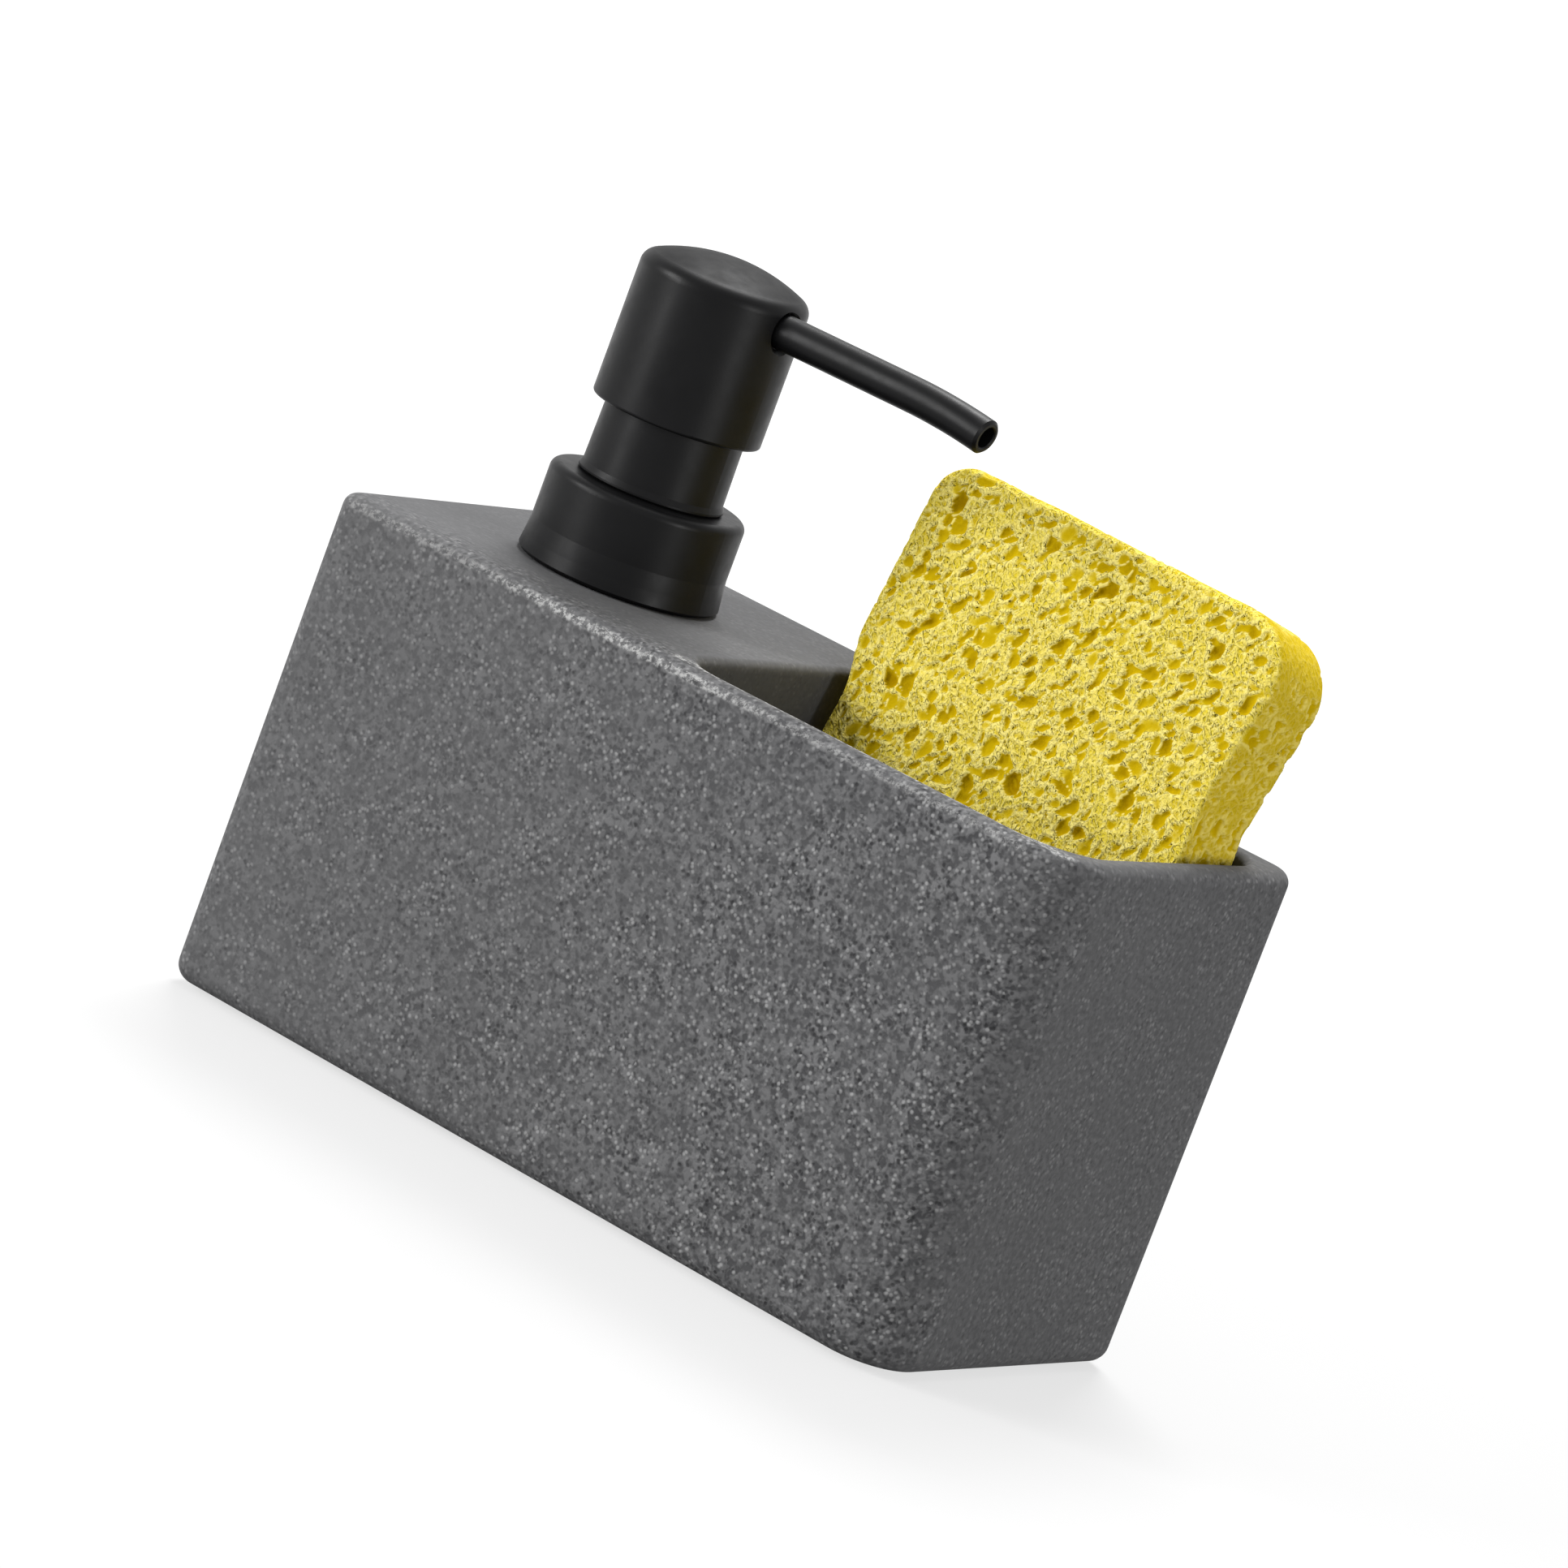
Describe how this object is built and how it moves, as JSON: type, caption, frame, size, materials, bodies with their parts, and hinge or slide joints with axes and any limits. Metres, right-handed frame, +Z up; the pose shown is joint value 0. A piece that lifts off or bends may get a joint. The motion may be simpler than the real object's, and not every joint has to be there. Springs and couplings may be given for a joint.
{
  "type": "soap pump caddy",
  "caption": "Stone-look block with a liquid soap reservoir under a screw-on push pump, beside an open pocket that holds an upright cleaning sponge.",
  "frame": {"origin": "centre of the base pad's underside, which is the surface that the caddy stands on", "axes": "+X along the front face from the pump towards the pocket, +Y from the front face to the back, +Z up"},
  "size_m": [0.147, 0.0694, 0.137],
  "materials": {
    "stone_body": "matte, cast, fine light and dark grains",
    "pad_rubber": "matte",
    "black_shell": "satin black coat",
    "black_plastic": "fine matte, moulded",
    "pale_plastic": "moulded, undyed",
    "washer_rubber": "smooth",
    "spring_steel": "drawn",
    "sponge_cell": "porous"
  },
  "bodies": {
    "caddy": {"caddy_body": "stone_body", "base_pad": "pad_rubber", "neck_insert": "black_plastic"},
    "pump_unit": {"guide_sleeve": "black_shell", "sealing_washer": "washer_rubber", "pump_housing": "pale_plastic", "housing_cap": "pale_plastic", "dip_tube": "pale_plastic", "ball_cage": "pale_plastic", "return_spring": "spring_steel"},
    "collar": {"collar_shell": "black_shell", "collar_nut": "black_plastic"},
    "inlet_valve": {"inlet_ball": "spring_steel"},
    "plunger": {"piston_rod": "pale_plastic", "piston": "pale_plastic", "pump_stem": "pale_plastic"},
    "head": {"head_shell": "black_shell", "head_core": "black_plastic", "spout_tube": "black_shell"},
    "sponge": {"sponge": "sponge_cell"}
  },
  "joints": [
    {"name": "pump_lift", "type": "slide", "parent": "caddy", "child": "pump_unit", "axis": [0, 0, 1], "range_m": [0, 0.09]},
    {"name": "collar_turn", "type": "hinge", "parent": "pump_unit", "child": "collar", "pos_m": [-0.0398, -0.00165, 0.0902], "axis": [0, 0, 1], "range_deg": [0, 540]},
    {"name": "pump_press", "type": "slide", "parent": "pump_unit", "child": "plunger", "axis": [0, 0, -1], "range_m": [0, 0.0105], "stiffness_N_per_m": 900, "springref_m": -0.0067, "deforming": ["return_spring"]},
    {"name": "head_swivel", "type": "hinge", "parent": "plunger", "child": "head", "pos_m": [-0.0398, -0.00165, 0.1232], "axis": [0, 0, 1], "continuous": true},
    {"name": "ball_lift", "type": "slide", "parent": "pump_unit", "child": "inlet_valve", "axis": [0, 0, 1], "range_m": [0, 0.0015]},
    {"name": "sponge_lift", "type": "slide", "parent": "caddy", "child": "sponge", "axis": [0.0201, 0.2394, 0.9707], "range_m": [0, 0.09]}
  ]
}
